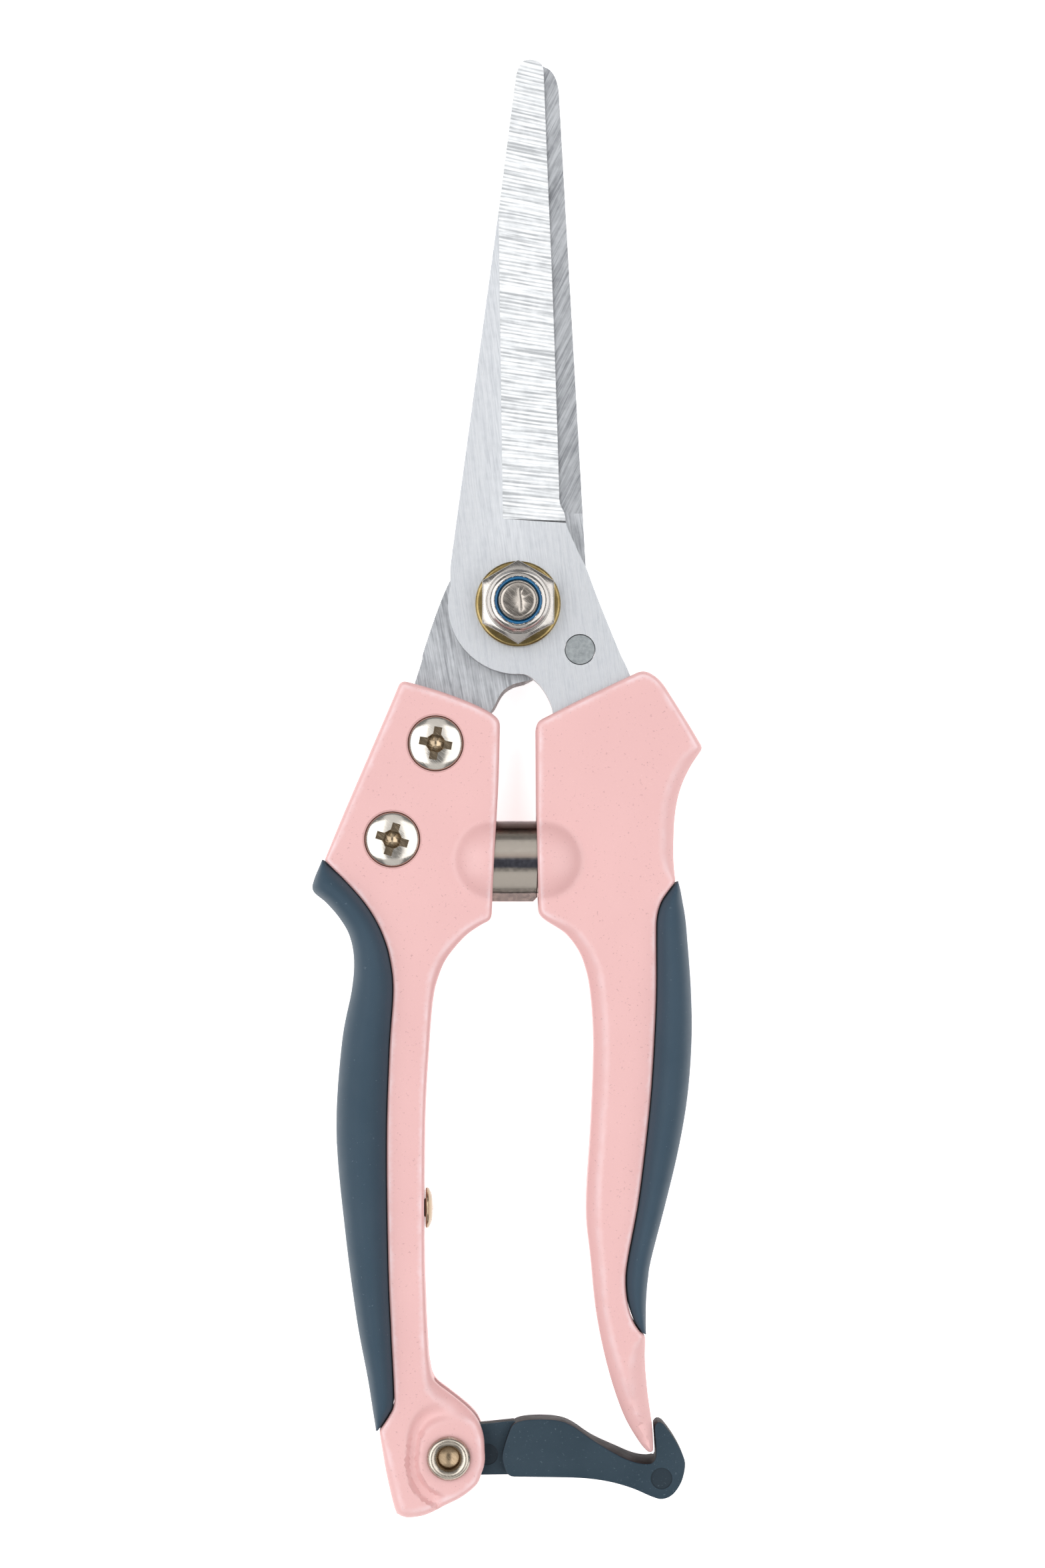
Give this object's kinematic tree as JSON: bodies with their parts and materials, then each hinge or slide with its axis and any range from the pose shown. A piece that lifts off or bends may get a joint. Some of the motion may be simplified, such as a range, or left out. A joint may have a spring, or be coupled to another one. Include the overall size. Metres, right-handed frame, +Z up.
{
  "type": "floral snips",
  "caption": "Hand snips with two long straight blades on a bolted pivot, cast handles with soft grips, a volute return spring and a swinging catch.",
  "frame": {"origin": "centre of the closed snips' footprint, on the surface they lie on", "axes": "+Y along the length towards the blade tips, +Z up towards the nut side, +X towards the handle that carries the front blade"},
  "size_m": [0.0547, 0.2044, 0.0174],
  "materials": {
    "blade_steel": "ground, fine grinding lines",
    "pin_steel": "plain, flush ground end",
    "nickel": "bright nickel plate",
    "spring_nickel": "rolled strip, nickel plate",
    "nylon_blue": "smooth nylon",
    "washer_brass": "yellow passivated",
    "handle_paint": "satin powder coat with fine specks",
    "grip_rubber": "soft matte",
    "catch_plastic": "fine moulded texture"
  },
  "bodies": {
    "left_half": {"left_handle": "handle_paint", "rear_blade": "blade_steel", "left_grip": "grip_rubber", "left_upper_screw": "nickel", "left_lower_screw": "nickel", "pivot_bolt": "nickel", "rear_washer": "washer_brass", "front_washer": "washer_brass", "pivot_nut": "nickel", "nut_nylon_ring": "nylon_blue", "volute_spring": "spring_nickel", "catch_rivet": "nickel", "catch_rest_stud": "nickel"},
    "right_half": {"right_handle": "handle_paint", "front_blade": "blade_steel", "stop_pin": "pin_steel", "right_grip": "grip_rubber", "right_upper_screw": "nickel", "right_lower_screw": "nickel"},
    "catch": {"catch_lever": "catch_plastic"}
  },
  "joints": [
    {"name": "blade_pivot", "type": "hinge", "parent": "left_half", "child": "right_half", "pos_m": [0.00155, 0.02535, 0.0072], "axis": [0, 0, 1], "range_deg": [0, 20]},
    {"name": "catch_pivot", "type": "hinge", "parent": "left_half", "child": "catch", "pos_m": [-0.0081, -0.09375, 0.0072], "axis": [0, 0, 1], "range_deg": [-90, 0]}
  ],
  "couplings": [
    {"joint": "catch_pivot", "follows": "blade_pivot", "ratio": -4.5}
  ]
}
